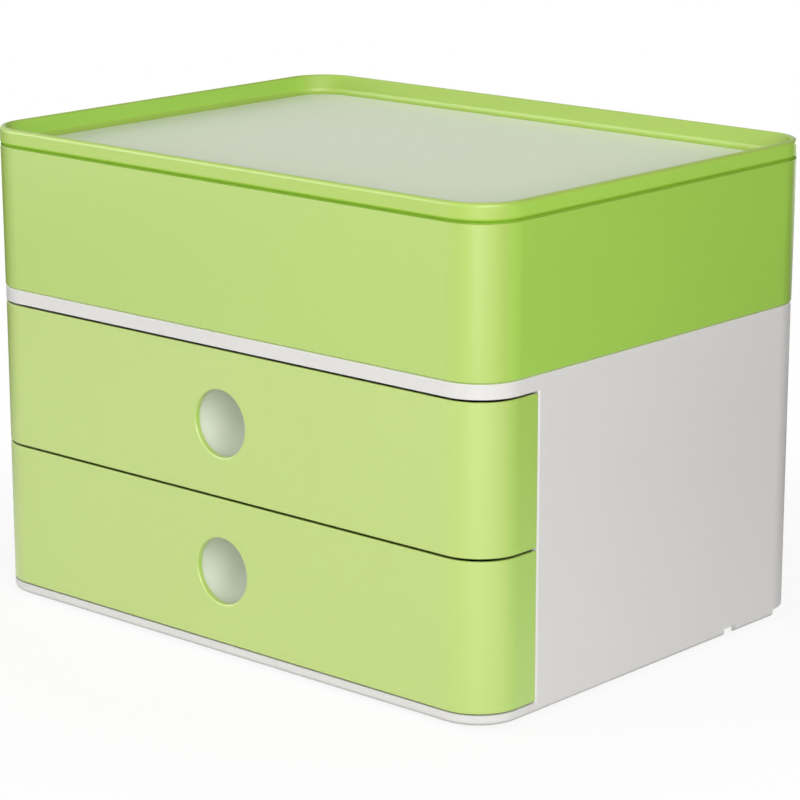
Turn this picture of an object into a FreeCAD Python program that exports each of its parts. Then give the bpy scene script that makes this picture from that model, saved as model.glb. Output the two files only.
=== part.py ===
import FreeCAD, Part
import math
import os

import Sketcher
from FreeCAD import Vector

# Desk box with two drawers and a lift-off utensil box.
#
# Millimetres. X runs to the right, Y to the back and Z up. The origin is on the desk, under the
# middle of the footprint. A moulded casing stands on four rubber feet and carries two drawers. Each
# drawer is a tray with a coloured front that wraps round both corners, and a finger cup behind a
# round hole. A utensil box with slotted dividers stands on the casing's deck, and a tray lid closes
# it.

SIZES = (
    # Whole object
    ("width", 260.0, "lid, left to right"),
    ("depth", 195.0, "lid, front to back"),
    ("height", 190.0, "desk to the lid's rim"),
    ("corner_radius", 18.5, "vertical corners of the lid, seen from above"),
    # Casing
    ("casing_inset", 0.5, "casing's side behind the lid's side"),
    ("casing_wall", 2.5, "sides and back"),
    ("rim_bottom", 1.5, "lower edge of the base rim above the desk"),
    ("rim_round", 1.6, "rounding under the base rim"),
    ("floor_bottom", 4.2, "underside of the floor plate"),
    ("sill_top", 5.45, "front lip of the floor, below the lower drawer"),
    ("floor_top", 6.4, "floor plate inside"),
    ("deck_top", 126.4, "deck that carries the utensil box"),
    ("deck_thickness", 4.4, "deck with its recess not yet sunk"),
    ("deck_bevel", 0.3, "bevel round the deck"),
    ("deck_recess", 1.2, "depth of the recess that locates the utensil box"),
    ("recess_inset", 5.0, "deck edge left round the recess"),
    ("band_bottom", 121.0, "lower edge of the deck's front band"),
    ("side_front", 68.2, "front edge of the side walls, ahead of the middle"),
    ("side_round", 1.0, "rounding of the side walls' front edge"),
    ("notch_middle", 50.3, "notch in the base rim, behind the middle"),
    ("notch_width", 7.2, "notch in the base rim"),
    ("rim_back", 79.0, "end of the base rim, behind the middle"),
    ("rim_wall", 1.9, "wall of the base rim"),
    ("base_rib_end", 75.0, "end of the ribs, behind the middle"),
    ("base_rib_drop", 1.9, "ribs below the floor's underside"),
    ("base_rib", 1.6, "thickness of the ribs under the floor"),
    ("base_rib_gap", 44.0, "spacing of the ribs under the floor"),
    # Rails that the drawers run on, moulded with the casing
    ("rail_width", 8.0, "rail, from the side wall inwards"),
    ("rail_tip", 1.8, "rail thickness at its free edge"),
    ("rail_root", 2.8, "rail thickness at the wall"),
    ("rail_front", 66.0, "front end of the rails, ahead of the middle"),
    ("rail_back", 82.0, "back end of the rails, behind the middle"),
    ("stop_length", 3.0, "stop nib under each rail, front to back"),
    ("stop_front", 65.0, "front of the stop nib, ahead of the middle"),
    ("stop_drop", 3.0, "stop nib below the thin edge of the rail"),
    ("slide_gap", 0.25, "play between a tray and what it runs on"),
    # Rubber feet
    ("foot_radius", 6.5, "foot"),
    ("foot_bevel", 0.7, "bevel under a foot"),
    ("foot_play", 0.1, "play of a foot in its socket"),
    ("foot_socket", 1.5, "wall of the socket round a foot"),
    ("foot_x", 108.0, "foot, from the middle"),
    ("foot_y", 76.0, "foot, from the middle"),
    # Drawer fronts
    ("sill_gap", 0.55, "gap under the lower drawer front"),
    ("drawer_gap", 1.0, "gap above a drawer front"),
    ("side_gap", 0.6, "gap between a front's ends and the side walls"),
    ("front_height", 56.5, "drawer front"),
    ("front_wall", 2.2, "drawer front's wall"),
    ("front_edge", 0.25, "bevel of the front's upper and lower edges"),
    ("edge_relief", 1.2, "bevel inside the front's upper edge"),
    ("flange_drop", 1.5, "flange below the front's upper edge"),
    ("flange_thickness", 2.0, "upper flange"),
    ("flange_depth", 6.0, "upper flange"),
    ("foot_flange_thickness", 1.3, "flange along the lower edge"),
    ("foot_flange_depth", 3.2, "flange along the lower edge"),
    ("finger_radius", 12.9, "round hole in the front"),
    ("finger_edge", 0.6, "rounding of the hole's edge"),
    ("stake_radius", 2.0, "pegs that fasten the front to the tray"),
    ("stake_head_radius", 3.6, "melted head of a peg"),
    ("stake_head", 1.2, "thickness of the head"),
    ("stake_head_slope", 0.9, "narrowing of the head over its thickness"),
    ("stake_play", 0.1, "play between a peg and the tray"),
    ("stake_x", 62.0, "pegs, from the middle"),
    ("stake_low", 14.0, "lower pegs above the front's lower edge"),
    ("stake_high", 43.0, "upper pegs above the front's lower edge"),
    # Drawer trays
    ("tray_bottom", 1.6, "underside of the tray above the front's lower edge"),
    ("tray_top", 52.6, "upper edge of the tray"),
    ("tray_wall", 1.8, "tray's walls"),
    ("tray_floor", 2.0, "tray's floor"),
    ("tray_half", 126.3, "half width at the upper edge"),
    ("tray_draft", 0.7, "tray narrower at its underside, each side"),
    ("tray_front", 93.4, "front of the upper edge, ahead of the middle"),
    ("tray_back", 91.5, "back of the upper edge, behind the middle"),
    ("tray_corner", 13.0, "tray's vertical corners at the upper edge"),
    ("tray_floor_bevel", 1.8, "bevel where floor and walls meet inside"),
    ("tray_bevel", 1.2, "bevel under the tray"),
    ("catch_front", 75.0, "front of the stop catch, behind the middle"),
    ("catch_length", 3.5, "stop catch, front to back"),
    ("catch_width", 5.0, "stop catch, from the tray's side inwards"),
    ("catch_rise", 2.4, "stop catch above the tray's upper edge"),
    ("catch_root", 6.0, "stop catch below that edge"),
    ("catch_inset", 0.3, "stop catch behind the tray's outer face"),
    # Finger cups
    ("cup_radius", 15.6, "mouth of the cup"),
    ("cup_depth", 11.6, "cup"),
    ("cup_wall", 1.2, "cup's wall"),
    ("cup_flange_radius", 19.0, "flange held between front and tray"),
    ("cup_flange", 1.3, "thickness of that flange"),
    ("cup_play", 0.05, "play of the flange"),
    # Utensil box
    ("seam_height", 182.7, "where the lid rests on the utensil box"),
    ("box_draft", 0.35, "box narrower at its foot, each side"),
    ("box_wall", 2.4, "box's walls"),
    ("box_floor", 2.4, "box's floor"),
    ("box_foot_bevel", 0.8, "bevel of the lower edge"),
    ("box_edge_bevel", 0.2, "bevel of the upper edge"),
    ("box_floor_bevel", 1.2, "bevel where floor and walls meet inside"),
    ("lip_wall", 1.35, "wall left beside the rabbet for the lid"),
    ("rabbet_depth", 2.85, "rabbet for the lid"),
    ("key_ring_drop", 1.0, "ring under the box that drops in the recess"),
    ("key_ring_width", 2.5, "that ring's wall"),
    ("key_ring_play", 0.4, "play of the ring in the recess"),
    # Dividers in the utensil box
    ("divider_thickness", 1.8, "divider"),
    ("divider_top", 170.0, "upper edge of the dividers"),
    ("divider_play", 0.15, "play of a divider in its slot"),
    ("divider_corner", 1.8, "cut corner at a divider's foot"),
    ("slot_rib", 1.5, "ribs that make a slot"),
    ("slot_depth", 2.2, "how far those ribs stand off the wall"),
    ("slot_end", 6.0, "long divider's slots end below its upper edge"),
    ("long_divider_y", 22.0, "long divider, behind the middle"),
    ("short_divider_x", 43.0, "short dividers, from the middle"),
    ("scoop_radius", 30.0, "finger scoop in the upper edge of a short divider"),
    ("scoop_depth", 8.0, "depth of that scoop"),
    # Lid
    ("lid_wall", 2.3, "lid's rim"),
    ("lid_floor_drop", 8.2, "lid's tray below the rim"),
    ("lid_plate", 1.8, "lid's plate"),
    ("lid_play", 0.25, "play of the lid in the rabbet"),
    ("groove_height", 0.55, "shadow groove between lid and box"),
    ("groove_depth", 1.0, "shadow groove between lid and box"),
    ("lid_lower_round", 1.2, "outer rounding of the rim's lower edge"),
    ("lid_floor_round", 2.4, "rounding where the lid's tray meets its rim"),
    ("lid_outer_round", 1.4, "outer rounding of the rim's upper edge"),
    ("lid_inner_bevel", 0.5, "inner bevel of the rim's upper edge"),
)

doc = FreeCAD.newDocument("DrawerBox")
sheet = doc.addObject("Spreadsheet::Sheet", "Sizes")
for row, (alias, value, meaning) in enumerate(SIZES, start=1):
    sheet.set(f"A{row}", meaning)
    sheet.set(f"B{row}", str(value))
    sheet.setAlias(f"B{row}", alias)
doc.recompute()

# Lengths that several pieces share, worked out from the sheet.
CASING_X = "(Sizes.width / 2 - Sizes.casing_inset)"
CASING_Y = "(Sizes.depth / 2 - Sizes.casing_inset)"
CASING_R = "(Sizes.corner_radius - Sizes.casing_inset)"
INNER_X = f"({CASING_X} - Sizes.casing_wall)"
INNER_Y = f"({CASING_Y} - Sizes.casing_wall)"
RIM_Y = f"({CASING_Y} - Sizes.rim_wall)"
LOWEST_DRAWER = "(Sizes.sill_top + Sizes.sill_gap)"
DRAWER_PITCH = "(Sizes.front_height + Sizes.drawer_gap)"
RAIL_TOP = f"({LOWEST_DRAWER} + {DRAWER_PITCH} + Sizes.tray_bottom - Sizes.slide_gap)"
FRONT_END = "(Sizes.side_front + Sizes.side_gap)"
BOX_FLOOR_TOP = "(Sizes.deck_top + Sizes.box_floor)"
LID_X = "(Sizes.width / 2)"
LID_Y = "(Sizes.depth / 2)"
THROUGH = "Sizes.width"

# A cut runs this far past the solid, and a pad sinks this far into the solid that carries it.
OVERRUN = "1"
BITE = "0.5"


def add_body(name):
    """An empty body whose label is the name of the piece."""
    body = doc.addObject("PartDesign::Body", name)
    body.Label = name
    return body


def origin_part(body, role):
    """One of the body's own origin planes or axes."""
    return next(part for part in body.Origin.OriginFeatures if part.Role == role)


def add_sketch(body, name, plane, offset="0"):
    """A sketch on one of the body's origin planes, moved along that plane's normal."""
    sketch = body.newObject("Sketcher::SketchObject", name)
    sketch.AttachmentSupport = (origin_part(body, plane), [""])
    sketch.MapMode = "FlatFace"
    sketch.setExpression("AttachmentOffset.Base.z", offset)
    return sketch


def bind(sketch, constraint, name, expression):
    """Adds a named dimension that follows an expression of the sheet."""
    sketch.addConstraint(constraint)
    index = sketch.ConstraintCount - 1
    sketch.renameConstraint(index, name)
    sketch.setExpression(f"Constraints.{name}", expression)


def pin(sketch, edge, end, axis, name, expression):
    """Holds one end of an edge at a signed distance from the sketch's origin."""
    point = (sketch.Geometry[edge].StartPoint, sketch.Geometry[edge].EndPoint)[end - 1]
    start = {"X": point.x, "Y": point.y}[axis]
    bind(sketch, Sketcher.Constraint(f"Distance{axis}", -1, 1, edge, end, start), name, expression)


def add_chain(sketch, points):
    """A closed chain of straight edges through the points. Returns the first edge's number."""
    first = sketch.GeometryCount
    count = len(points)
    for start, end in zip(points, points[1:] + points[:1]):
        sketch.addGeometry(Part.LineSegment(Vector(*start, 0), Vector(*end, 0)), False)
    for index in range(count):
        following = first + (index + 1) % count
        sketch.addConstraint(Sketcher.Constraint("Coincident", first + index, 2, following, 1))
    return first


def add_rectangle(sketch, left, right, low, high, tag=""):
    """A rectangle given by the signed places of its four sides."""
    first = add_chain(sketch, [(-1, -1), (1, -1), (1, 1), (-1, 1)])
    for edge in (first, first + 2):
        sketch.addConstraint(Sketcher.Constraint("Horizontal", edge))
    for edge in (first + 1, first + 3):
        sketch.addConstraint(Sketcher.Constraint("Vertical", edge))
    pin(sketch, first + 1, 1, "X", f"right{tag}", right)
    pin(sketch, first + 3, 1, "X", f"left{tag}", left)
    pin(sketch, first, 1, "Y", f"low{tag}", low)
    pin(sketch, first + 2, 1, "Y", f"high{tag}", high)


def add_rounded(sketch, half_x, front, back, radius, open_back=False):
    """Outline seen from above, with round corners; open_back leaves its two back corners square."""
    w, h, r = 20.0, 15.0, 4.0
    corners = [((w, -h), 270), ((w, h), 0), ((-w, h), 90), ((-w, -h), 180)]
    inward = {270: (-r, r), 0: (-r, -r), 90: (r, -r), 180: (r, r)}
    outline = []
    for (x, y), turn in corners:
        if open_back and y > 0:
            outline.append(((x, y), (x, y), None))
            continue
        centre = Vector(x + inward[turn][0], y + inward[turn][1], 0)
        arc = Part.ArcOfCircle(Part.Circle(centre, Vector(0, 0, 1), r),
                               math.radians(turn), math.radians(turn + 90))
        outline.append(((arc.StartPoint.x, arc.StartPoint.y), (arc.EndPoint.x, arc.EndPoint.y), arc))
    joints = []
    sides = []
    arcs = []
    for (_, leave, _), (reach, _, arc) in zip(outline[-1:] + outline[:-1], outline):
        sides.append(sketch.addGeometry(Part.LineSegment(Vector(*leave, 0), Vector(*reach, 0)), False))
        joints.append(sides[-1])
        if arc:
            arcs.append(sketch.addGeometry(arc, False))
            joints.append(arcs[-1])
    for here, there in zip(joints, joints[1:] + joints[:1]):
        kind = "Coincident" if here in sides and there in sides else "Tangent"
        sketch.addConstraint(Sketcher.Constraint(kind, here, 2, there, 1))
    bottom, right, top, left = sides
    for edge in (bottom, top):
        sketch.addConstraint(Sketcher.Constraint("Horizontal", edge))
    for edge in (right, left):
        sketch.addConstraint(Sketcher.Constraint("Vertical", edge))
    for arc in arcs[1:]:
        sketch.addConstraint(Sketcher.Constraint("Equal", arcs[0], arc))
    bind(sketch, Sketcher.Constraint("Radius", arcs[0], r), "radius", radius)
    pin(sketch, right, 1, "X", "right", half_x)
    pin(sketch, left, 1, "X", "left", f"-{half_x}")
    pin(sketch, bottom, 1, "Y", "front", f"-{front}")
    pin(sketch, top, 1, "Y", "back", back)


def add_circle(sketch, x, y, radius, tag=""):
    """A circle given by the signed place of its centre."""
    circle = sketch.addGeometry(Part.Circle(Vector(1, 1, 0), Vector(0, 0, 1), 1.0), False)
    bind(sketch, Sketcher.Constraint("Radius", circle, 1.0), f"radius{tag}", radius)
    bind(sketch, Sketcher.Constraint("DistanceX", -1, 1, circle, 3, 1.0), f"x{tag}", x)
    bind(sketch, Sketcher.Constraint("DistanceY", -1, 1, circle, 3, 1.0), f"y{tag}", y)


def extrude(body, kind, name, sketch, length, reverse=False, both_ways=False, spread="0"):
    """A pad or pocket of a sketch, spreading by a given amount over its length if it is drafted."""
    before = body.Shape.Volume if body.Tip else 0.0
    feature = body.newObject(f"PartDesign::{kind}", name)
    feature.Profile = sketch
    feature.setExpression("Length", length)
    feature.Reversed = reverse
    feature.SideType = "Symmetric" if both_ways else "One side"
    feature.setExpression("TaperAngle", f"atan(({spread}) / ({length}))")
    doc.recompute()
    change = feature.Shape.Volume - before
    if (change if kind == "Pad" else -change) < 0.01:
        raise ValueError(f"{body.Name}.{name} changes no volume")
    return feature


def wanted_edges(shape, wanted):
    """Names of the edges whose end points and middle all pass the test."""
    names = []
    for index, edge in enumerate(shape.Edges, start=1):
        middle = edge.valueAt((edge.FirstParameter + edge.LastParameter) / 2)
        if all(wanted(point) for point in [vertex.Point for vertex in edge.Vertexes] + [middle]):
            names.append(f"Edge{index}")
    return names


def round_edges(body, name, radius, wanted):
    """A fillet on the wanted edges of the body as it stands."""
    base = body.Tip
    fillet = body.newObject("PartDesign::Fillet", name)
    fillet.Base = (base, wanted_edges(base.Shape, wanted))
    fillet.setExpression("Radius", radius)
    doc.recompute()


def bevel_edges(body, name, size, wanted):
    """A chamfer on the wanted edges of the body as it stands."""
    base = body.Tip
    chamfer = body.newObject("PartDesign::Chamfer", name)
    chamfer.Base = (base, wanted_edges(base.Shape, wanted))
    chamfer.setExpression("Size", size)
    doc.recompute()


def number(alias):
    """A cell of the sheet as a number."""
    return float(sheet.get(alias))


def near(value, target):
    """True where two places agree to a hundredth of a millimetre."""
    return abs(value - target) < 0.01


# ---------------------------------------------------------------- casing
def build_casing():
    """One moulding: floor, sides, back and deck, with rails, feet sockets and a rim underneath."""
    body = add_body("casing")
    outline = add_sketch(body, "outline", "XY_Plane", "Sizes.rim_bottom")
    add_rounded(outline, CASING_X, CASING_Y, CASING_Y, CASING_R)
    extrude(body, "Pad", "block", outline, "Sizes.deck_top - Sizes.rim_bottom")
    bottom = number("rim_bottom")
    round_edges(body, "rim_rounding", "Sizes.rim_round", lambda p: near(p.z, bottom))
    deck = number("deck_top")
    bevel_edges(body, "deck_edge", "Sizes.deck_bevel", lambda p: near(p.z, deck))

    # The room for the drawers, and the wide opening that the drawer fronts fill.
    room = add_sketch(body, "room", "XY_Plane", "Sizes.floor_top")
    add_rounded(room, INNER_X, INNER_Y, INNER_Y, f"({CASING_R} - Sizes.casing_wall)")
    extrude(body, "Pocket", "drawer_room", room,
            "Sizes.deck_top - Sizes.deck_thickness - Sizes.floor_top", reverse=True)
    opening = add_sketch(body, "opening", "YZ_Plane")
    add_rectangle(opening, f"-{CASING_Y} - {OVERRUN}", "-Sizes.side_front", "Sizes.sill_top",
                  "Sizes.band_bottom")
    extrude(body, "Pocket", "front_opening", opening, THROUGH, both_ways=True)
    half_x = number("width") / 2 - number("casing_inset")
    side_front = -number("side_front")
    round_edges(body, "side_rounding", "Sizes.side_round",
                lambda p: near(abs(p.x), half_x) and near(p.y, side_front))

    # The hollow underneath leaves a rim, which is cut away at two notches and along the back.
    under = add_sketch(body, "under", "XY_Plane", "Sizes.rim_bottom")
    add_rounded(under, f"({CASING_X} - Sizes.rim_wall)", RIM_Y, RIM_Y, f"({CASING_R} - Sizes.rim_wall)")
    extrude(body, "Pocket", "base_hollow", under, "Sizes.floor_bottom - Sizes.rim_bottom", reverse=True)
    notches = add_sketch(body, "notches", "YZ_Plane")
    add_rectangle(notches, "Sizes.notch_middle - Sizes.notch_width / 2",
                  "Sizes.notch_middle + Sizes.notch_width / 2",
                  f"Sizes.rim_bottom - {OVERRUN}", "Sizes.floor_bottom", "_notch")
    add_rectangle(notches, "Sizes.rim_back", f"{CASING_Y} + {OVERRUN}",
                  f"Sizes.rim_bottom - {OVERRUN}", "Sizes.floor_bottom", "_back")
    extrude(body, "Pocket", "rim_notches", notches, THROUGH, both_ways=True)

    # Ribs across the floor's underside, and a socket for each foot.
    rib = add_sketch(body, "rib", "XY_Plane", "Sizes.floor_bottom")
    add_rectangle(rib, "-Sizes.base_rib / 2", "Sizes.base_rib / 2", f"-{RIM_Y}", "Sizes.base_rib_end")
    ribs = [extrude(body, "Pad", "base_rib", rib, "Sizes.base_rib_drop", reverse=True)]
    spread = body.newObject("PartDesign::MultiTransform", "base_ribs")
    spread.Originals = ribs
    row = body.newObject("PartDesign::LinearPattern", "base_rib_row")
    row.Direction = (origin_part(body, "X_Axis"), [""])
    row.setExpression("Length", "Sizes.base_rib_gap * 2")
    row.Occurrences = 3
    flip = body.newObject("PartDesign::Mirrored", "base_rib_mirror")
    flip.MirrorPlane = (origin_part(body, "YZ_Plane"), [""])
    spread.Transformations = [row, flip]
    body.Tip = spread
    doc.recompute()
    sockets = add_sketch(body, "sockets", "XY_Plane", "Sizes.rim_bottom")
    wells = add_sketch(body, "wells", "XY_Plane", "Sizes.rim_bottom")
    for tag, x, y in foot_places():
        add_circle(sockets, x, y, "Sizes.foot_radius + Sizes.foot_socket", tag)
        add_circle(wells, x, y, "Sizes.foot_radius", tag)
    extrude(body, "Pad", "foot_sockets", sockets, f"Sizes.floor_bottom - Sizes.rim_bottom + {BITE}")
    extrude(body, "Pocket", "foot_wells", wells, "Sizes.floor_bottom - Sizes.rim_bottom", reverse=True)

    # The upper drawer's rail and its stop nib, repeated one drawer higher and mirrored.
    rail = add_sketch(body, "rail", "XZ_Plane", "Sizes.rail_front")
    add_rail_section(rail)
    rail_pad = extrude(body, "Pad", "rail_bar", rail, "Sizes.rail_front + Sizes.rail_back", reverse=True)
    stop = add_sketch(body, "stop", "XZ_Plane", "Sizes.stop_front")
    add_rectangle(stop, f"{INNER_X} - Sizes.rail_width", f"{INNER_X} + {BITE}",
                  f"{RAIL_TOP} - Sizes.rail_tip - Sizes.stop_drop",
                  f"{RAIL_TOP} - Sizes.rail_tip + {BITE}")
    stop_pad = extrude(body, "Pad", "rail_stop", stop, "Sizes.stop_length", reverse=True)
    rails = body.newObject("PartDesign::MultiTransform", "rails")
    rails.Originals = [rail_pad, stop_pad]
    upward = body.newObject("PartDesign::LinearPattern", "rails_upward")
    upward.Direction = (origin_part(body, "Z_Axis"), [""])
    upward.setExpression("Length", DRAWER_PITCH)
    upward.Occurrences = 2
    across = body.newObject("PartDesign::Mirrored", "rails_across")
    across.MirrorPlane = (origin_part(body, "YZ_Plane"), [""])
    rails.Transformations = [upward, across]
    body.Tip = rails
    doc.recompute()

    # Two low strips on the floor carry the lower drawer.
    strips = add_sketch(body, "strips", "XZ_Plane", "Sizes.rail_front")
    for tag, sign in (("_right", 1), ("_left", -1)):
        inner_edge = f"{sign} * ({INNER_X} - Sizes.rail_width)"
        outer_edge = f"{sign} * ({INNER_X} - Sizes.rail_width / 2)"
        sides = (inner_edge, outer_edge) if sign > 0 else (outer_edge, inner_edge)
        add_rectangle(strips, *sides, f"Sizes.floor_top - {BITE}",
                      f"{LOWEST_DRAWER} + Sizes.tray_bottom - Sizes.slide_gap", tag)
    extrude(body, "Pad", "floor_strips", strips, "Sizes.rail_front + Sizes.rail_back", reverse=True)

    # The recess in the deck that the utensil box drops into.
    recess = add_sketch(body, "recess", "XY_Plane", "Sizes.deck_top")
    add_rounded(recess, f"({CASING_X} - Sizes.recess_inset)", f"({CASING_Y} - Sizes.recess_inset)",
                f"({CASING_Y} - Sizes.recess_inset)", f"({CASING_R} - Sizes.recess_inset)")
    extrude(body, "Pocket", "deck_recess", recess, "Sizes.deck_recess")
    return body


def add_rail_section(sketch):
    """Rail seen from the front: flat on top, thicker where it meets the wall."""
    first = add_chain(sketch, [(1, 1), (2, 0.5), (2, 2), (1, 2)])
    sketch.addConstraint(Sketcher.Constraint("Horizontal", first + 2))
    for edge in (first + 1, first + 3):
        sketch.addConstraint(Sketcher.Constraint("Vertical", edge))
    pin(sketch, first, 1, "X", "tip_x", f"{INNER_X} - Sizes.rail_width")
    pin(sketch, first, 1, "Y", "tip_z", f"{RAIL_TOP} - Sizes.rail_tip")
    pin(sketch, first, 2, "X", "root_x", f"{INNER_X} + {BITE}")
    pin(sketch, first, 2, "Y", "root_z", f"{RAIL_TOP} - Sizes.rail_root")
    pin(sketch, first + 2, 1, "Y", "top_z", RAIL_TOP)


def foot_places():
    """Tag and signed place of each of the four feet."""
    for side, sign_x in (("left", "-"), ("right", "")):
        for end, sign_y in (("front", "-"), ("rear", "")):
            yield f"_{end}_{side}", f"{sign_x}Sizes.foot_x", f"{sign_y}Sizes.foot_y"


def build_foot(name, x, y):
    """A round rubber foot, glued in its socket."""
    body = add_body(name)
    disc = add_sketch(body, "disc", "XY_Plane")
    add_circle(disc, "0", "0", "Sizes.foot_radius - Sizes.foot_play")
    extrude(body, "Pad", "pad", disc, "Sizes.floor_bottom")
    bevel_edges(body, "tread", "Sizes.foot_bevel", lambda p: near(p.z, 0))
    body.setExpression("Placement.Base.x", x)
    body.setExpression("Placement.Base.y", y)
    return body


# ---------------------------------------------------------------- drawers
def place_drawer_piece(body, level):
    """Lifts a piece drawn for the lowest drawer to the drawer's own level."""
    body.setExpression("Placement.Base.z", f"{LOWEST_DRAWER} + {level} * {DRAWER_PITCH}")


def build_tray(name, level):
    """Drafted open tray, with a hole for the finger cup and two catches at the back."""
    body = add_body(name)
    foot = add_sketch(body, "foot", "XY_Plane", "Sizes.tray_bottom")
    add_rounded(foot, "(Sizes.tray_half - Sizes.tray_draft)", "(Sizes.tray_front - Sizes.tray_draft)",
                "(Sizes.tray_back - Sizes.tray_draft)", "Sizes.tray_corner - Sizes.tray_draft")
    extrude(body, "Pad", "block", foot, "Sizes.tray_top - Sizes.tray_bottom",
            spread="Sizes.tray_draft")
    bottom = number("tray_bottom")
    bevel_edges(body, "foot_bevel", "Sizes.tray_bevel", lambda p: near(p.z, bottom))

    mouth = add_sketch(body, "mouth", "XY_Plane", "Sizes.tray_top")
    add_rounded(mouth, "(Sizes.tray_half - Sizes.tray_wall)", "(Sizes.tray_front - Sizes.tray_wall)",
                "(Sizes.tray_back - Sizes.tray_wall)", "Sizes.tray_corner - Sizes.tray_wall")
    extrude(body, "Pocket", "hollow", mouth, "Sizes.tray_top - Sizes.tray_bottom - Sizes.tray_floor",
            spread="-Sizes.tray_draft")
    floor_top = bottom + number("tray_floor")
    bevel_edges(body, "floor_bevel", "Sizes.tray_floor_bevel", lambda p: near(p.z, floor_top))

    # Catches stand up from the side walls and meet the stop nibs when the drawer is drawn out.
    catches = add_sketch(body, "catches", "XY_Plane", "Sizes.tray_top - Sizes.catch_root")
    for tag, sign in (("_right", 1), ("_left", -1)):
        inner_edge = f"{sign} * (Sizes.tray_half - Sizes.catch_width)"
        outer_edge = f"{sign} * (Sizes.tray_half - Sizes.catch_inset)"
        sides = (inner_edge, outer_edge) if sign > 0 else (outer_edge, inner_edge)
        add_rectangle(catches, *sides, "Sizes.catch_front", "Sizes.catch_front + Sizes.catch_length",
                      tag)
    extrude(body, "Pad", "stop_catches", catches, "Sizes.catch_root + Sizes.catch_rise")

    holes = add_sketch(body, "holes", "XZ_Plane", f"Sizes.tray_front + {OVERRUN}")
    add_circle(holes, "0", "Sizes.front_height / 2",
               "Sizes.cup_radius + Sizes.cup_wall + Sizes.cup_play", "_cup")
    for tag, x, z in stake_places():
        add_circle(holes, x, z, "Sizes.stake_radius + Sizes.stake_play", tag)
    extrude(body, "Pocket", "front_holes", holes, f"Sizes.tray_wall + 2 * {OVERRUN}")
    place_drawer_piece(body, level)
    return body


def stake_places():
    """Tag and signed place of each of the four pegs that fasten a front to its tray."""
    for side, sign in (("left", "-"), ("right", "")):
        for row in ("low", "high"):
            yield f"_{row}_{side}", f"{sign}Sizes.stake_x", f"Sizes.stake_{row}"


def build_front(name, level):
    """Coloured front that wraps round both corners, with flanges, a finger hole and four pegs."""
    body = add_body(name)
    outline = add_sketch(body, "outline", "XY_Plane")
    add_rounded(outline, CASING_X, CASING_Y, f"-{FRONT_END}", CASING_R, open_back=True)
    extrude(body, "Pad", "block", outline, "Sizes.front_height")
    height = number("front_height")
    half_x = number("width") / 2 - number("casing_inset")
    half_y = number("depth") / 2 - number("casing_inset")
    back = -(number("side_front") + number("side_gap"))
    bevel_edges(body, "edge_bevel", "Sizes.front_edge",
                lambda p: (near(p.z, 0) or near(p.z, height))
                and not (near(p.y, back) and abs(p.x) < half_x - 1))

    # Hollows of different depth leave the wall, a flange at its foot and one below its upper edge.
    hollows = (
        ("wall_hollow", "Sizes.front_wall", "Sizes.foot_flange_thickness",
         "Sizes.front_height - Sizes.flange_drop - Sizes.flange_thickness"),
        ("edge_hollow", "Sizes.front_wall", "Sizes.front_height - Sizes.flange_drop",
         f"Sizes.front_height + {OVERRUN}"),
        ("lower_mouth", "Sizes.foot_flange_depth", f"-{OVERRUN}", "Sizes.front_height / 2"),
        ("upper_mouth", "Sizes.flange_depth", "Sizes.front_height / 2",
         f"Sizes.front_height + {OVERRUN}"),
    )
    for hollow, inset, low, high in hollows:
        plan = add_sketch(body, f"{hollow}_plan", "XY_Plane", low)
        add_rounded(plan, f"({CASING_X} - {inset})", f"({CASING_Y} - {inset})",
                    f"-{FRONT_END} + {OVERRUN}", f"{CASING_R} - {inset}", open_back=True)
        extrude(body, "Pocket", hollow, plan, f"{high} - ({low})", reverse=True)
    inner_x = half_x - number("front_wall")
    inner_y = half_y - number("front_wall")
    bevel_edges(body, "edge_relief", "Sizes.edge_relief",
                lambda p: near(p.z, height) and abs(p.x) < inner_x + 0.01 and p.y > -inner_y - 0.01)

    hole = add_sketch(body, "finger_hole", "XZ_Plane", f"{CASING_Y} + {OVERRUN}")
    add_circle(hole, "0", "Sizes.front_height / 2", "Sizes.finger_radius")
    extrude(body, "Pocket", "finger_opening", hole, f"Sizes.front_wall + 2 * {OVERRUN}")
    radius = number("finger_radius")
    middle = height / 2
    round_edges(body, "finger_rounding", "Sizes.finger_edge",
                lambda p: near(p.y, -half_y) and near(math.hypot(p.x, p.z - middle), radius))

    # Each row of pegs has its own length, because the wall it passes through leans.
    for row in ("low", "high"):
        root = f"({CASING_Y} - Sizes.front_wall + {BITE})"
        wall_back = (f"(Sizes.tray_front - Sizes.tray_wall - Sizes.stake_play - Sizes.tray_draft"
                     f" * (Sizes.tray_top - Sizes.stake_{row}) / (Sizes.tray_top - Sizes.tray_bottom))")
        shafts = add_sketch(body, f"shafts_{row}", "XZ_Plane", root)
        heads = add_sketch(body, f"heads_{row}", "XZ_Plane", wall_back)
        for tag, x, z in stake_places():
            if row in tag:
                add_circle(shafts, x, z, "Sizes.stake_radius", tag)
                add_circle(heads, x, z, "Sizes.stake_head_radius", tag)
        extrude(body, "Pad", f"peg_shafts_{row}", shafts, f"{root} - {wall_back} + {BITE}",
                reverse=True)
        extrude(body, "Pad", f"peg_heads_{row}", heads, "Sizes.stake_head", reverse=True,
                spread="-Sizes.stake_head_slope")
    place_drawer_piece(body, level)
    return body


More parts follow.
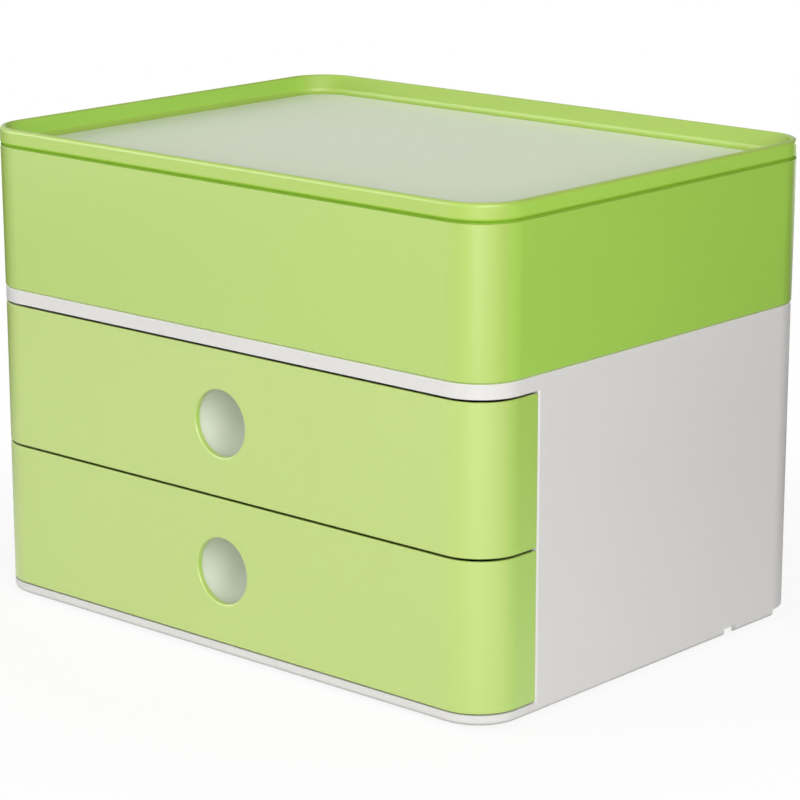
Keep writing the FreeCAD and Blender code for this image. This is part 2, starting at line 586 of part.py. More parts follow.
def build_cup(name, level):
    """Shallow round bowl behind the finger hole, with a flange held between front and tray."""
    body = add_body(name)
    section = add_sketch(body, "section", "YZ_Plane")
    mouth, depth, rim = number("cup_radius"), number("cup_depth"), number("cup_flange_radius")
    wall, flange = number("cup_wall"), number("cup_flange")
    sphere = (mouth ** 2 + depth ** 2) / (2 * depth)
    inner_arc = bowl_arc(depth - sphere, sphere, 0.0)
    outer_arc = bowl_arc(depth - sphere, sphere + wall, flange)
    corners = [outer_arc.EndPoint, Vector(flange, rim, 0), Vector(0, rim, 0), inner_arc.EndPoint]
    inner = section.addGeometry(inner_arc, False)
    tip = section.addGeometry(Part.LineSegment(inner_arc.StartPoint, outer_arc.StartPoint), False)
    outer = section.addGeometry(outer_arc, False)
    back, edge, face = [section.addGeometry(Part.LineSegment(start, end), False)
                        for start, end in zip(corners, corners[1:])]
    meetings = ((inner, 1, tip, 1), (tip, 2, outer, 1), (outer, 2, back, 1), (back, 2, edge, 1),
                (edge, 2, face, 1), (face, 2, inner, 2), (inner, 3, outer, 3))
    for meeting in meetings:
        section.addConstraint(Sketcher.Constraint("Coincident", *meeting))
    for line, direction in ((tip, "Horizontal"), (back, "Vertical"), (edge, "Horizontal"),
                            (face, "Vertical")):
        section.addConstraint(Sketcher.Constraint(direction, line))
    section.addConstraint(Sketcher.Constraint("PointOnObject", inner, 3, -1))
    section.addConstraint(Sketcher.Constraint("PointOnObject", tip, 1, -1))
    section.addConstraint(Sketcher.Constraint("PointOnObject", face, 1, -2))
    pin(section, tip, 1, "X", "depth", "Sizes.cup_depth")
    pin(section, face, 2, "Y", "mouth", "Sizes.cup_radius")
    pin(section, face, 1, "Y", "rim", "Sizes.cup_flange_radius")
    pin(section, back, 2, "X", "flange", "Sizes.cup_flange")
    bind(section, Sketcher.Constraint("DistanceX", tip, 1, tip, 2, wall), "wall", "Sizes.cup_wall")
    bowl = body.newObject("PartDesign::Revolution", "bowl")
    bowl.Profile = section
    bowl.ReferenceAxis = (section, ["H_Axis"])
    bowl.Angle = 360
    doc.recompute()
    body.setExpression("Placement.Base.y", f"-({CASING_Y} - Sizes.front_wall - Sizes.cup_play / 2)")
    body.setExpression("Placement.Base.z",
                       f"{LOWEST_DRAWER} + {level} * {DRAWER_PITCH} + Sizes.front_height / 2")
    return body


def bowl_arc(centre, radius, rim):
    """Arc of the bowl's section from its deepest point, on the axis, out to the plane of its rim."""
    circle = Part.Circle(Vector(centre, 0, 0), Vector(0, 0, 1), radius)
    return Part.ArcOfCircle(circle, 0.0, math.acos((rim - centre) / radius))


# ---------------------------------------------------------------- utensil box
def build_utensil_box():
    """Drafted open box with a rabbet for the lid, a ring underneath and slots for the dividers."""
    body = add_body("utensil_box")
    foot = add_sketch(body, "foot", "XY_Plane", "Sizes.deck_top")
    add_rounded(foot, f"({LID_X} - Sizes.box_draft)", f"({LID_Y} - Sizes.box_draft)",
                f"({LID_Y} - Sizes.box_draft)", "Sizes.corner_radius - Sizes.box_draft")
    extrude(body, "Pad", "block", foot, "Sizes.seam_height - Sizes.deck_top",
            spread="Sizes.box_draft")
    deck = number("deck_top")
    seam = number("seam_height")
    bevel_edges(body, "foot_bevel", "Sizes.box_foot_bevel", lambda p: near(p.z, deck))
    bevel_edges(body, "edge_bevel", "Sizes.box_edge_bevel", lambda p: near(p.z, seam))

    mouth = add_sketch(body, "mouth", "XY_Plane", "Sizes.seam_height")
    add_rounded(mouth, f"({LID_X} - Sizes.box_wall)", f"({LID_Y} - Sizes.box_wall)",
                f"({LID_Y} - Sizes.box_wall)", "Sizes.corner_radius - Sizes.box_wall")
    extrude(body, "Pocket", "hollow", mouth, f"Sizes.seam_height - {BOX_FLOOR_TOP}",
            spread="-Sizes.box_draft")
    floor_top = deck + number("box_floor")
    bevel_edges(body, "floor_bevel", "Sizes.box_floor_bevel", lambda p: near(p.z, floor_top))
    rabbet = add_sketch(body, "rabbet", "XY_Plane", "Sizes.seam_height")
    add_rounded(rabbet, f"({LID_X} - Sizes.lip_wall)", f"({LID_Y} - Sizes.lip_wall)",
                f"({LID_Y} - Sizes.lip_wall)", "Sizes.corner_radius - Sizes.lip_wall")
    extrude(body, "Pocket", "lid_rabbet", rabbet, "Sizes.rabbet_depth")

    ring_inset = "(Sizes.casing_inset + Sizes.recess_inset + Sizes.key_ring_play)"
    ring = add_sketch(body, "ring", "XY_Plane", "Sizes.deck_top - Sizes.key_ring_drop")
    add_rounded(ring, f"({LID_X} - {ring_inset})", f"({LID_Y} - {ring_inset})",
                f"({LID_Y} - {ring_inset})", f"Sizes.corner_radius - {ring_inset}")
    extrude(body, "Pad", "key_block", ring, f"Sizes.key_ring_drop + {BITE}")
    bore_inset = f"({ring_inset} + Sizes.key_ring_width)"
    bore = add_sketch(body, "bore", "XY_Plane", "Sizes.deck_top - Sizes.key_ring_drop")
    add_rounded(bore, f"({LID_X} - {bore_inset})", f"({LID_Y} - {bore_inset})",
                f"({LID_Y} - {bore_inset})", f"Sizes.corner_radius - {bore_inset}")
    extrude(body, "Pocket", "key_ring", bore, "Sizes.key_ring_drop", reverse=True)
    add_divider_slots(body)
    return body


def add_divider_slots(body):
    """Pairs of ribs: one pair on each side wall, two pairs on the front wall."""
    half_slot = "(Sizes.divider_thickness / 2 + Sizes.divider_play)"
    ribs = add_sketch(body, "slot_ribs", "XY_Plane", f"{BOX_FLOOR_TOP} - {BITE}")
    wall_x = f"({LID_X} - Sizes.box_draft - Sizes.box_wall)"
    wall_y = f"({LID_Y} - Sizes.box_draft - Sizes.box_wall)"
    for side, sign in (("_right", 1), ("_left", -1)):
        near_edge = f"{sign} * ({wall_x} - Sizes.slot_depth)"
        far_edge = f"{sign} * ({wall_x} + {BITE})"
        x_sides = (near_edge, far_edge) if sign > 0 else (far_edge, near_edge)
        for end, away in (("_ahead", -1), ("_behind", 1)):
            face = f"Sizes.long_divider_y + {away} * {half_slot}"
            back = f"{face} + {away} * Sizes.slot_rib"
            y_sides = (face, back) if away > 0 else (back, face)
            add_rectangle(ribs, *x_sides, *y_sides, side + end)
            face = f"{sign} * Sizes.short_divider_x + {away} * {half_slot}"
            back = f"{face} + {away} * Sizes.slot_rib"
            front_x = (face, back) if away > 0 else (back, face)
            add_rectangle(ribs, *front_x, f"-({wall_y} + {BITE})", f"-({wall_y} - Sizes.slot_depth)",
                          side + end + "_front")
    extrude(body, "Pad", "divider_slots", ribs, f"Sizes.divider_top - {BOX_FLOOR_TOP} + {BITE}")


def build_long_divider():
    """Partition from side to side, with two slots of its own for the short dividers."""
    body = add_body("long_divider")
    plan = add_sketch(body, "plan", "XY_Plane", BOX_FLOOR_TOP)
    half_x = f"({LID_X} - Sizes.box_draft - Sizes.box_wall - Sizes.divider_play * 2)"
    add_rectangle(plan, f"-{half_x}", half_x,
                  "Sizes.long_divider_y - Sizes.divider_thickness / 2",
                  "Sizes.long_divider_y + Sizes.divider_thickness / 2")
    extrude(body, "Pad", "plate", plan, f"Sizes.divider_top - {BOX_FLOOR_TOP}")
    right = number("width") / 2 - number("box_draft") - number("box_wall") - 2 * number("divider_play")
    floor = number("deck_top") + number("box_floor")
    bevel_edges(body, "foot_corners", "Sizes.divider_corner",
                lambda p: near(abs(p.x), right) and near(p.z, floor))
    ribs = add_sketch(body, "slot_ribs", "XY_Plane", BOX_FLOOR_TOP)
    half_slot = "(Sizes.divider_thickness / 2 + Sizes.divider_play)"
    front_face = "(Sizes.long_divider_y - Sizes.divider_thickness / 2)"
    for side, sign in (("_right", 1), ("_left", -1)):
        for end, away in (("_inner", -1), ("_outer", 1)):
            face = f"{sign} * Sizes.short_divider_x + {away} * {half_slot}"
            back = f"{face} + {away} * Sizes.slot_rib"
            x_sides = (face, back) if away > 0 else (back, face)
            add_rectangle(ribs, *x_sides, f"{front_face} - Sizes.slot_depth",
                          f"{front_face} + {BITE}", side + end)
    extrude(body, "Pad", "slots", ribs, f"Sizes.divider_top - {BOX_FLOOR_TOP} - Sizes.slot_end")
    return body


def build_short_divider(name, sign):
    """Partition from the front wall to the long divider, with a finger scoop in its upper edge."""
    body = add_body(name)
    plan = add_sketch(body, "side", "YZ_Plane", f"{sign} * Sizes.short_divider_x")
    wall_y = f"({LID_Y} - Sizes.box_draft - Sizes.box_wall)"
    add_rectangle(plan, f"-({wall_y} - Sizes.divider_play * 2)",
                  "Sizes.long_divider_y - Sizes.divider_thickness / 2 - Sizes.divider_play",
                  BOX_FLOOR_TOP, "Sizes.divider_top")
    extrude(body, "Pad", "plate", plan, "Sizes.divider_thickness", both_ways=True)
    scoop = add_sketch(body, "scoop", "YZ_Plane")
    add_circle(scoop, f"(Sizes.long_divider_y - {wall_y}) / 2",
               "Sizes.divider_top - Sizes.scoop_depth + Sizes.scoop_radius", "Sizes.scoop_radius")
    extrude(body, "Pocket", "finger_scoop", scoop, THROUGH, both_ways=True)
    wall_inset = number("box_draft") + number("box_wall")
    front = -(number("depth") / 2 - wall_inset - 2 * number("divider_play"))
    floor = number("deck_top") + number("box_floor")
    bevel_edges(body, "foot_corner", "Sizes.divider_corner",
                lambda p: near(p.y, front) and near(p.z, floor))
    return body


# ---------------------------------------------------------------- lid
def build_lid():
    """Tray lid: a rim on the box's edge, and a sunk floor that drops into the rabbet."""
    body = add_body("box_lid")
    rim = add_sketch(body, "rim", "XY_Plane", "Sizes.seam_height + Sizes.groove_height")
    add_rounded(rim, LID_X, LID_Y, LID_Y, "Sizes.corner_radius")
    extrude(body, "Pad", "rim_block", rim, "Sizes.height - Sizes.seam_height - Sizes.groove_height")
    rim_bottom = number("seam_height") + number("groove_height")
    top = number("height")
    round_edges(body, "lower_rounding", "Sizes.lid_lower_round", lambda p: near(p.z, rim_bottom))
    round_edges(body, "upper_rounding", "Sizes.lid_outer_round", lambda p: near(p.z, top))

    # The rim rests on the box by a narrower ring, which leaves the groove outside it.
    rest = add_sketch(body, "rest", "XY_Plane", "Sizes.seam_height")
    add_rounded(rest, f"({LID_X} - Sizes.groove_depth)", f"({LID_Y} - Sizes.groove_depth)",
                f"({LID_Y} - Sizes.groove_depth)", "Sizes.corner_radius - Sizes.groove_depth")
    extrude(body, "Pad", "rest_ring", rest, f"Sizes.groove_height + {BITE}")

    plug_inset = "(Sizes.lip_wall + Sizes.lid_play)"
    plate_bottom = "(Sizes.height - Sizes.lid_floor_drop - Sizes.lid_plate)"
    plug = add_sketch(body, "plug", "XY_Plane", plate_bottom)
    add_rounded(plug, f"({LID_X} - {plug_inset})", f"({LID_Y} - {plug_inset})",
                f"({LID_Y} - {plug_inset})", f"Sizes.corner_radius - {plug_inset}")
    extrude(body, "Pad", "plug_block", plug, f"Sizes.seam_height - {plate_bottom} + {BITE}")

    tray = add_sketch(body, "tray", "XY_Plane", "Sizes.height")
    add_rounded(tray, f"({LID_X} - Sizes.lid_wall)", f"({LID_Y} - Sizes.lid_wall)",
                f"({LID_Y} - Sizes.lid_wall)", "Sizes.corner_radius - Sizes.lid_wall")
    extrude(body, "Pocket", "tray_hollow", tray, "Sizes.lid_floor_drop")
    floor = top - number("lid_floor_drop")
    inner_x = number("width") / 2 - number("lid_wall")
    round_edges(body, "floor_rounding", "Sizes.lid_floor_round",
                lambda p: near(p.z, floor) and abs(p.x) <= inner_x + 0.01)
    inner_y = number("depth") / 2 - number("lid_wall")
    bevel_edges(body, "inner_bevel", "Sizes.lid_inner_bevel",
                lambda p: near(p.z, top) and abs(p.x) <= inner_x + 0.01 and abs(p.y) <= inner_y + 0.01)
    return body


pieces = [build_casing()]
for tag, x, y in foot_places():
    pieces.append(build_foot(f"foot{tag}", x, y))
for level, prefix in enumerate(("lower", "upper")):
    pieces.append(build_tray(f"{prefix}_drawer_tray", level))
    pieces.append(build_front(f"{prefix}_drawer_front", level))
    pieces.append(build_cup(f"{prefix}_finger_cup", level))
pieces.append(build_utensil_box())
pieces.append(build_long_divider())
pieces.append(build_short_divider("left_divider", -1))
pieces.append(build_short_divider("right_divider", 1))
pieces.append(build_lid())
doc.recompute()

for item in doc.Objects:
    if "Invalid" in item.State or "Error" in item.State:
        raise ValueError(f"{item.Name} did not build: {item.State}")
for piece in pieces:
    if piece.Shape.isNull() or not piece.Shape.isValid() or len(piece.Shape.Solids) != 1:
        raise ValueError(f"{piece.Label} is not one sound solid")

os.makedirs("parts", exist_ok=True)
for piece in pieces:
    piece.Shape.exportStep(f"parts/{piece.Label}.step")
    print(f"{piece.Label:20s} {piece.Shape.Volume / 1000:8.1f} cm3")
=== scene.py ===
import math

import bpy
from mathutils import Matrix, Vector

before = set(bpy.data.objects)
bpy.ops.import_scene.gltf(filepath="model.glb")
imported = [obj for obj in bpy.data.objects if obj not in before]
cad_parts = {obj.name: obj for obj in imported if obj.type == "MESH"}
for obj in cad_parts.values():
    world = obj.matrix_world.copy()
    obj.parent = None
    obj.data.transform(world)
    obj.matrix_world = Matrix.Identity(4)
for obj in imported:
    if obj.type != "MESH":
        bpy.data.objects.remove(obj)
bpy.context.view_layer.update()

# ---------------------------------------------------------------------------------------------
# Casing. One injection-moulded shell of warm white ABS: floor, sides, back and deck, with the
# drawer rails, the stop nibs, the foot sockets and the base rim all moulded in one piece.
# The mould leaves a soft gloss and a very fine, even grain.
# ---------------------------------------------------------------------------------------------
WHITE = (0.70, 0.685, 0.668)
# The rim's painted shade fades out between these heights, in metres above the table.
RIM_LOW, RIM_HIGH = 0.0015, 0.0031
RIM_SHADE = 0.7
PLASTIC_IOR = 1.53
PLAIN_GLINT, POLISH_GLINT = 0.5, 0.4
POLISH_IOR, POLISH_BLUR = 1.5, 0.3
NOISE_LOW, NOISE_HIGH = 0.3, 0.7
GLOSS_SWING = 0.02
GRAIN_DEPTH = 0.00004


def link(holder, out_node, out_name, in_node, in_name):
    holder.node_tree.links.new(out_node.outputs[out_name], in_node.inputs[in_name])


def add_node(holder, kind, **settings):
    """Adds a shader node to a material or the world, and sets its inputs by name."""
    node = holder.node_tree.nodes.new(kind)
    for name, value in settings.items():
        node.inputs[name.replace("_", " ")].default_value = value
    return node


def add_ramp(holder, source, output, start, end, low, high):
    """Adds a node that turns a value between start and end into one between low and high."""
    ramp = add_node(holder, "ShaderNodeMapRange",
                    From_Min=start, From_Max=end, To_Min=low, To_Max=high)
    link(holder, source, output, ramp, "Value")
    return ramp


def moulded_plastic(name, colour, roughness, spread, grain, polished=0.0):
    """Moulded plastic: flow shading in the colour, uneven gloss, and a fine grain in the skin.

    Spread is how far the flow shades the colour, grain how deep the skin's relief is, and
    polished how much of a clear gloss the mould's polish gives it, from 0 to 1."""
    material = bpy.data.materials.new(name)
    material.use_nodes = True
    shader = material.node_tree.nodes["Principled BSDF"]
    shader.inputs["IOR"].default_value = PLASTIC_IOR
    shader.inputs["Specular IOR Level"].default_value = PLAIN_GLINT + POLISH_GLINT * polished
    shader.inputs["Coat Weight"].default_value = polished
    shader.inputs["Coat Roughness"].default_value = POLISH_BLUR
    shader.inputs["Coat IOR"].default_value = POLISH_IOR
    place = add_node(material, "ShaderNodeTexCoord")

    # The melt's flow leaves broad, barely visible clouds of colour.
    flow = add_node(material, "ShaderNodeTexNoise", Scale=9.0, Detail=3.0, Roughness=0.55)
    link(material, place, "Object", flow, "Vector")
    shades = add_node(material, "ShaderNodeValToRGB")
    for stop, level in zip(shades.color_ramp.elements, (1.0 - spread, 1.0 + spread)):
        stop.color = [min(1.0, channel * level) for channel in colour] + [1.0]
    shades.color_ramp.elements[0].position = NOISE_LOW
    shades.color_ramp.elements[1].position = NOISE_HIGH
    link(material, flow, "Fac", shades, "Fac")
    link(material, shades, "Color", shader, "Base Color")

    # Handling and the mould's polish make the gloss uneven.
    polish = add_node(material, "ShaderNodeTexNoise", Scale=140.0, Detail=3.0, Roughness=0.5)
    link(material, place, "Object", polish, "Vector")
    gloss = add_ramp(material, polish, "Fac", start=NOISE_LOW, end=NOISE_HIGH,
                     low=roughness - GLOSS_SWING, high=roughness + GLOSS_SWING)
    link(material, gloss, "Result", shader, "Roughness")

    # The grain of the mould's steel, about a third of a millimetre across.
    skin = add_node(material, "ShaderNodeTexNoise", Scale=2600.0, Detail=2.0, Roughness=0.5)
    link(material, place, "Object", skin, "Vector")
    relief = add_node(material, "ShaderNodeBump", Strength=grain, Distance=GRAIN_DEPTH)
    link(material, skin, "Fac", relief, "Height")
    link(material, relief, "Normal", shader, "Normal")
    return material


def dress(material, *nodes):
    """Gives CAD pieces their material."""
    for node in nodes:
        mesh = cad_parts[node].data
        mesh.materials.clear()
        mesh.materials.append(material)


def paint_shade(material, bottom, top, darkest, **tone):
    """Darkens the colour from one height down to a lower one: painted shade, where shade falls on
    undersides and in grooves.

    Darkest is the share of brightness left at the bottom, and tone may shift hue and saturation."""
    place = add_node(material, "ShaderNodeTexCoord")
    split = add_node(material, "ShaderNodeSeparateXYZ")
    link(material, place, "Object", split, "Vector")
    shade_level = add_ramp(material, split, "Z", start=bottom, end=top, low=darkest, high=1.0)
    shaded = add_node(material, "ShaderNodeHueSaturation", **tone)
    link(material, shade_level, "Result", shaded, "Value")
    link(material, material.node_tree.nodes["Color Ramp"], "Color", shaded, "Color")
    link(material, shaded, "Color", material.node_tree.nodes["Principled BSDF"], "Base Color")


white_abs = moulded_plastic("white_abs", WHITE, roughness=0.38, spread=0.012, grain=0.25)
# Painted shade: the base rim's rounded underside darkens toward the table.
paint_shade(white_abs, RIM_LOW, RIM_HIGH, darkest=RIM_SHADE)
dress(white_abs, "casing")

# ---------------------------------------------------------------------------------------------
# Feet. Four round grey rubber discs, glued in the sockets under the floor so that the box
# doesn't slide when a drawer is pulled. The rubber is matt and a little uneven in its grey.
# ---------------------------------------------------------------------------------------------
RUBBER = (0.27, 0.275, 0.28)

foot_rubber = moulded_plastic("foot_rubber", RUBBER, roughness=0.78, spread=0.08, grain=0.8)
dress(foot_rubber, "foot_front_left", "foot_front_right", "foot_rear_left", "foot_rear_right")

# ---------------------------------------------------------------------------------------------
# Drawers. Each is a white moulded tray with a lime front that wraps round both corners. The
# front is held by four pegs melted over inside the tray. Between them sits a pale round cup
# that a finger reaches through the hole in the front.
# ---------------------------------------------------------------------------------------------
PALE_LIME = (0.44, 0.59, 0.128)
CUP = (0.60, 0.64, 0.535)
# Painted shading: the tint of the fronts' ends, which look sideways.
FRONT_END_SHADING = (0.88, 1.03, 0.74, 1.0)
UNTINTED = (1.0, 1.0, 1.0, 1.0)
# The painted side shading starts where a wall looks this far sideways.
SIDE_SHADING_START = 0.93


def paint_side_shading(material, side_shading):
    """Multiplies the colour by a tint on walls that look sideways: painted shading, for the deeper
    lime that the light gives those walls.
    """
    place = add_node(material, "ShaderNodeTexCoord")
    split = add_node(material, "ShaderNodeSeparateXYZ")
    link(material, place, "Normal", split, "Vector")
    sideways = add_node(material, "ShaderNodeMath")
    sideways.operation = "ABSOLUTE"
    link(material, split, "X", sideways, 0)
    shades = material.node_tree.nodes["Color Ramp"]
    tint = add_node(material, "ShaderNodeValToRGB")
    tint.color_ramp.elements[0].position = SIDE_SHADING_START
    tint.color_ramp.elements[0].color = UNTINTED
    tint.color_ramp.elements[1].color = side_shading
    link(material, sideways, "Value", tint, "Fac")
    toned = add_node(material, "ShaderNodeVectorMath")
    toned.operation = "MULTIPLY"
    link(material, shades, "Color", toned, 0)
    link(material, tint, "Color", toned, 1)
    link(material, toned, "Vector", material.node_tree.nodes["Principled BSDF"], "Base Color")


front_abs = moulded_plastic("front_abs", PALE_LIME, roughness=0.45, spread=0.012, grain=0.15,
                            polished=1.0)
# Painted shading on the walls that look sideways.
paint_side_shading(front_abs, FRONT_END_SHADING)
cup_abs = moulded_plastic("cup_abs", CUP, roughness=0.62, spread=0.015, grain=0.3)
for level in ("lower", "upper"):
    dress(white_abs, f"{level}_drawer_tray")
    dress(front_abs, f"{level}_drawer_front")
    dress(cup_abs, f"{level}_finger_cup")

# ---------------------------------------------------------------------------------------------
# Utensil box. A lime moulded box that stands loose on the casing's deck. Its three white
# partitions are moulded apart and slide down into slots in its walls, and the two short ones into
# slots in the long one too.
# ---------------------------------------------------------------------------------------------
LIME = (0.385, 0.56, 0.085)
# Painted shading: the tint of the lime walls that look sideways.
LIME_SIDE_SHADING = (0.98, 1.17, 0.96, 1.0)

lime_abs = moulded_plastic("lime_abs", LIME, roughness=0.45, spread=0.012, grain=0.15,
                           polished=1.0)
# Painted shading on the walls that look sideways.
paint_side_shading(lime_abs, LIME_SIDE_SHADING)
dress(lime_abs, "utensil_box")
dress(white_abs, "long_divider", "left_divider", "right_divider")

# ---------------------------------------------------------------------------------------------
# Lid. A lime tray lid in one moulding that rests on the utensil box's edge. Its sunk floor is
# etched matt and has a pale bloom. Rim and walls are smooth, and the groove under the rim is left
# rough and carries painted shade, a dark line where the rim's underside is in shade.
# ---------------------------------------------------------------------------------------------
ETCHED_LIME = (0.355, 0.505, 0.12)
BLOOM, BLOOM_BLUR = 0.75, 0.5
GROOVE_GLINT = 0.1
# Painted shade in the groove: how dark it gets, and its hue and saturation.
GROOVE_SHADE, SHADE_HUE, SHADE_SATURATION = 0.82, 0.52, 1.08
# Heights in metres above the table.
LID_FLOOR = 0.1818
GROOVE_FLOOR, GROOVE_TOP = 0.1827, 0.18325
ROUNDING_TOP = 0.18445
HEIGHT_TOLERANCE = 0.0001
NEARLY_UPWARD = 0.99


def add_finish(mesh, material):
    """Gives a piece one more material and returns its slot."""
    mesh.materials.append(material)
    return len(mesh.materials) - 1


def face_heights(mesh, face):
    """The lowest and the highest corner of a face."""
    heights = [mesh.vertices[corner].co.z for corner in face.vertices]
    return min(heights), max(heights)


lid_abs = moulded_plastic("lid_abs", LIME, roughness=0.5, spread=0.012, grain=0.15, polished=0.45)
# Painted shading on the walls that look sideways.
paint_side_shading(lid_abs, LIME_SIDE_SHADING)
etched_abs = moulded_plastic("etched_abs", ETCHED_LIME, roughness=0.45, spread=0.012, grain=0.15)
etched_shader = etched_abs.node_tree.nodes["Principled BSDF"]
etched_shader.inputs["Sheen Weight"].default_value = BLOOM
etched_shader.inputs["Sheen Roughness"].default_value = BLOOM_BLUR

# Painted shade: darkest in the groove, and lightening over the rounding above it.
groove_abs = moulded_plastic("groove_abs", LIME, roughness=0.8, spread=0.012, grain=0.15)
groove_shader = groove_abs.node_tree.nodes["Principled BSDF"]
groove_shader.inputs["Specular IOR Level"].default_value = GROOVE_GLINT
paint_shade(groove_abs, GROOVE_TOP, ROUNDING_TOP, darkest=GROOVE_SHADE,
         Hue=SHADE_HUE, Saturation=SHADE_SATURATION)

dress(lid_abs, "box_lid")
lid_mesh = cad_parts["box_lid"].data
etched_slot = add_finish(lid_mesh, etched_abs)
groove_slot = add_finish(lid_mesh, groove_abs)
for face in lid_mesh.polygons:
    lowest, highest = face_heights(lid_mesh, face)
    upward = face.normal.z > NEARLY_UPWARD
    outward = face.normal.x * face.center.x + face.normal.y * face.center.y > 0
    above_groove_floor = lowest > GROOVE_FLOOR - HEIGHT_TOLERANCE
    below_rounding_top = highest < ROUNDING_TOP + HEIGHT_TOLERANCE
    if upward and abs(face.center.z - LID_FLOOR) < HEIGHT_TOLERANCE:
        face.material_index = etched_slot
    elif outward and above_groove_floor and below_rounding_top:
        face.material_index = groove_slot

# The groove's floor is the utensil box's upper edge, and the painted shade lies on it too.
box_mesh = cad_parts["utensil_box"].data
box_groove_slot = add_finish(box_mesh, groove_abs)
for face in box_mesh.polygons:
    lowest, highest = face_heights(box_mesh, face)
    if lowest > GROOVE_FLOOR - HEIGHT_TOLERANCE:
        face.material_index = box_groove_slot

# ---------------------------------------------------------------------------------------------
# Studio. A white paper floor that runs out of view, three soft lamps across the front, and a
# small low one behind. Paper and surroundings look white to the camera. Glossy faces mirror that
# white from the front and the left, and the right rear is left dark.
# ---------------------------------------------------------------------------------------------
# Lengths are in metres, and places are counted from the middle of the object's foot.
FLOOR_HALF = 6.0
PAPER_BOUNCE, PAPER_WHITE = 0.5, 0.95
PAPER_ROUGHNESS = 0.9
OBJECT_FOOT = (0.0, 0.0, 0.0)
SHADOW_START, SHADOW_END = 0.16, 0.32
SHADOW_GLOW = 0.88
POOL_CENTRE = (0.10, -0.55, 0.0)
POOL_START, POOL_END = 0.45, 0.85
PURE_WHITE = (1.0, 1.0, 1.0, 1.0)
AMBIENT = 0.1
BRIGHT_WAY = (-0.669, -0.743, 0.0)
SKY_DARK, SKY_BRIGHT = -0.8, -0.1
LAMP_AIM = Vector((0.0, 0.0, 0.095))


def combine(holder, operation, first, first_output, second, second_output):
    """Adds a node that multiplies two values or takes the larger."""
    both = add_node(holder, "ShaderNodeMath")
    both.operation = operation
    link(holder, first, first_output, both, 0)
    link(holder, second, second_output, both, 1)
    return both


def add_measure(holder, operation, place, output, mark):
    """Adds a node that measures a place against a mark, by distance or along a direction."""
    measure = add_node(holder, "ShaderNodeVectorMath")
    measure.operation = operation
    measure.inputs[1].default_value = mark
    link(holder, place, output, measure, 0)
    return measure


floor_corners = [(-FLOOR_HALF, -FLOOR_HALF, 0), (FLOOR_HALF, -FLOOR_HALF, 0),
                 (FLOOR_HALF, FLOOR_HALF, 0), (-FLOOR_HALF, FLOOR_HALF, 0)]
floor_mesh = bpy.data.meshes.new("floor")
floor_mesh.from_pydata(floor_corners, [], [(0, 1, 2, 3)])
floor = bpy.data.objects.new("floor", floor_mesh)
bpy.context.scene.collection.objects.link(floor)
paper = bpy.data.materials.new("white_paper")
paper.use_nodes = True
paper_nodes = paper.node_tree.nodes
paper_shader = paper_nodes["Principled BSDF"]
paper_shader.inputs["Roughness"].default_value = PAPER_ROUGHNESS
rays = add_node(paper, "ShaderNodeLightPath")
paper_tone = add_ramp(paper, rays, "Is Camera Ray", start=0.0, end=1.0,
                      low=PAPER_BOUNCE, high=PAPER_WHITE)
link(paper, paper_tone, "Result", paper_shader, "Base Color")
paper_place = add_node(paper, "ShaderNodeTexCoord")

# To the camera the paper glows white, and near the object a share of its own shade shows.
from_object = add_measure(paper, "DISTANCE", paper_place, "Object", OBJECT_FOOT)
whiteness = add_ramp(paper, from_object, "Value", start=SHADOW_START, end=SHADOW_END,
                     low=SHADOW_GLOW, high=1.0)
glow_seen = combine(paper, "MULTIPLY", rays, "Is Camera Ray", whiteness, "Result")
glow_share = combine(paper, "MAXIMUM", glow_seen, "Value", rays, "Is Glossy Ray")

# In a reflection the white is a wide pool in front of the object.
from_pool = add_measure(paper, "DISTANCE", paper_place, "Object", POOL_CENTRE)
pool = add_ramp(paper, from_pool, "Value", start=POOL_START, end=POOL_END, low=1.0, high=0.0)
glow_strength = combine(paper, "MAXIMUM", rays, "Is Camera Ray", pool, "Result")
glow = add_node(paper, "ShaderNodeEmission")
link(paper, glow_strength, "Value", glow, "Strength")
paper_blend = add_node(paper, "ShaderNodeMixShader")
link(paper, glow_share, "Value", paper_blend, "Fac")
link(paper, paper_shader, "BSDF", paper_blend, 1)
link(paper, glow, "Emission", paper_blend, 2)
link(paper, paper_blend, "Shader", paper_nodes["Material Output"], "Surface")
floor_mesh.materials.append(paper)

# The surroundings give a little even light, and look white to the camera.
world = bpy.data.worlds.new("surroundings")
bpy.context.scene.world = world
world.use_nodes = True
ambient = world.node_tree.nodes["Background"]
ambient.inputs["Color"].default_value = PURE_WHITE
ambient.inputs["Strength"].default_value = AMBIENT
sky_rays = add_node(world, "ShaderNodeLightPath")
sky_place = add_node(world, "ShaderNodeTexCoord")
sky_way = add_measure(world, "DOT_PRODUCT", sky_place, "Generated", BRIGHT_WAY)
sky_reflected = add_ramp(world, sky_way, "Value", start=SKY_DARK, end=SKY_BRIGHT, low=0.0, high=1.0)
sky_strength = combine(world, "MAXIMUM", sky_rays, "Is Camera Ray", sky_reflected, "Result")
backdrop = add_node(world, "ShaderNodeBackground")
backdrop.inputs["Color"].default_value = PURE_WHITE
link(world, sky_strength, "Value", backdrop, "Strength")
sky_share = combine(world, "MAXIMUM", sky_rays, "Is Camera Ray", sky_rays, "Is Glossy Ray")
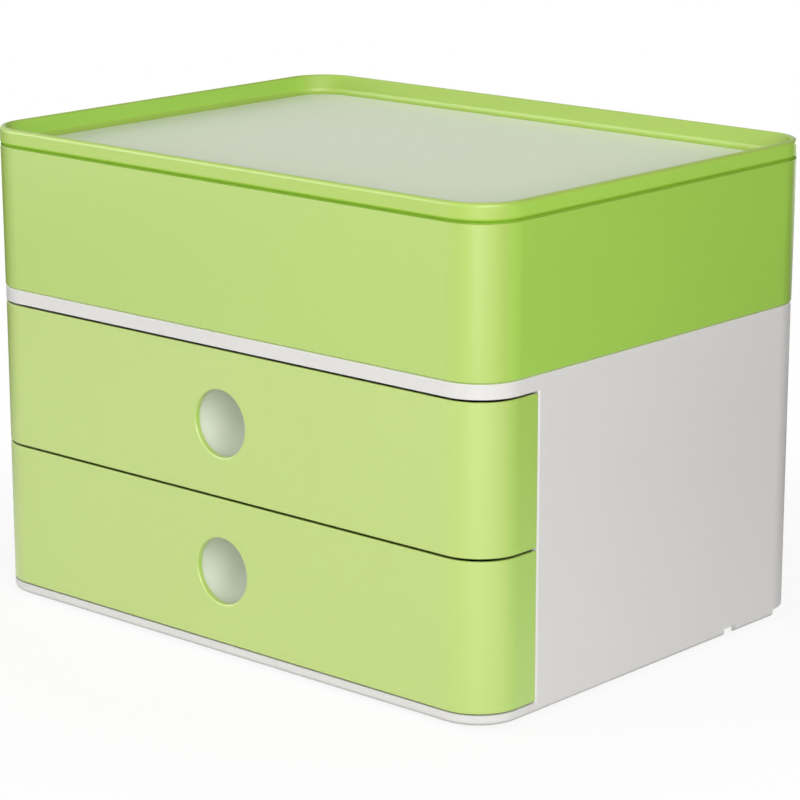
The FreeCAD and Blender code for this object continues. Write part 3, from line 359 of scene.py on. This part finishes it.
sky_blend = add_node(world, "ShaderNodeMixShader")
link(world, sky_share, "Value", sky_blend, "Fac")
link(world, ambient, "Background", sky_blend, 1)
link(world, backdrop, "Background", sky_blend, 2)
link(world, sky_blend, "Shader", world.node_tree.nodes["World Output"], "Surface")


def soft_lamp(name, turn, rise, distance, size, watts):
    """A square soft lamp that faces the object, turned and raised by degrees.

    Turn is counted from straight in front toward the object's right."""
    lamp = bpy.data.lights.new(name, "AREA")
    lamp.shape = "SQUARE"
    lamp.size = size
    lamp.energy = watts
    level = math.cos(math.radians(rise))
    away = Vector((math.sin(math.radians(turn)) * level, -math.cos(math.radians(turn)) * level,
                   math.sin(math.radians(rise))))
    holder = bpy.data.objects.new(name, lamp)
    holder.location = LAMP_AIM + away * distance
    holder.rotation_euler = away.to_track_quat("Z", "Y").to_euler()
    bpy.context.scene.collection.objects.link(holder)


soft_lamp("left_lamp", turn=-46, rise=16, distance=1.6, size=1.0, watts=13.2)
soft_lamp("front_lamp", turn=34, rise=7, distance=1.7, size=0.5, watts=5.9)
soft_lamp("right_lamp", turn=60, rise=26, distance=1.7, size=1.0, watts=21.8)
soft_lamp("rear_lamp", turn=188, rise=-1, distance=1.7, size=0.26, watts=14.0)

# ---------------------------------------------------------------------------------------------
# Camera. A long lens to the front right, a little above the lid and 1.2 m away, aimed slightly
# down at the middle of the box.
# ---------------------------------------------------------------------------------------------
CAMERA_PLACE = (0.783444, -0.873162, 0.383025)
CAMERA_WAY = Vector((-0.64538, 0.72239, -0.24826))
SENSOR_WIDTH, FOCAL_LENGTH = 36.0, 137.66

camera_data = bpy.data.cameras.new("camera")
camera_data.sensor_width = SENSOR_WIDTH
camera_data.lens = FOCAL_LENGTH
camera = bpy.data.objects.new("camera", camera_data)
camera.location = CAMERA_PLACE
camera.rotation_euler = CAMERA_WAY.to_track_quat("-Z", "Y").to_euler()
bpy.context.scene.collection.objects.link(camera)
bpy.context.scene.camera = camera
bpy.context.scene.view_settings.view_transform = "Standard"
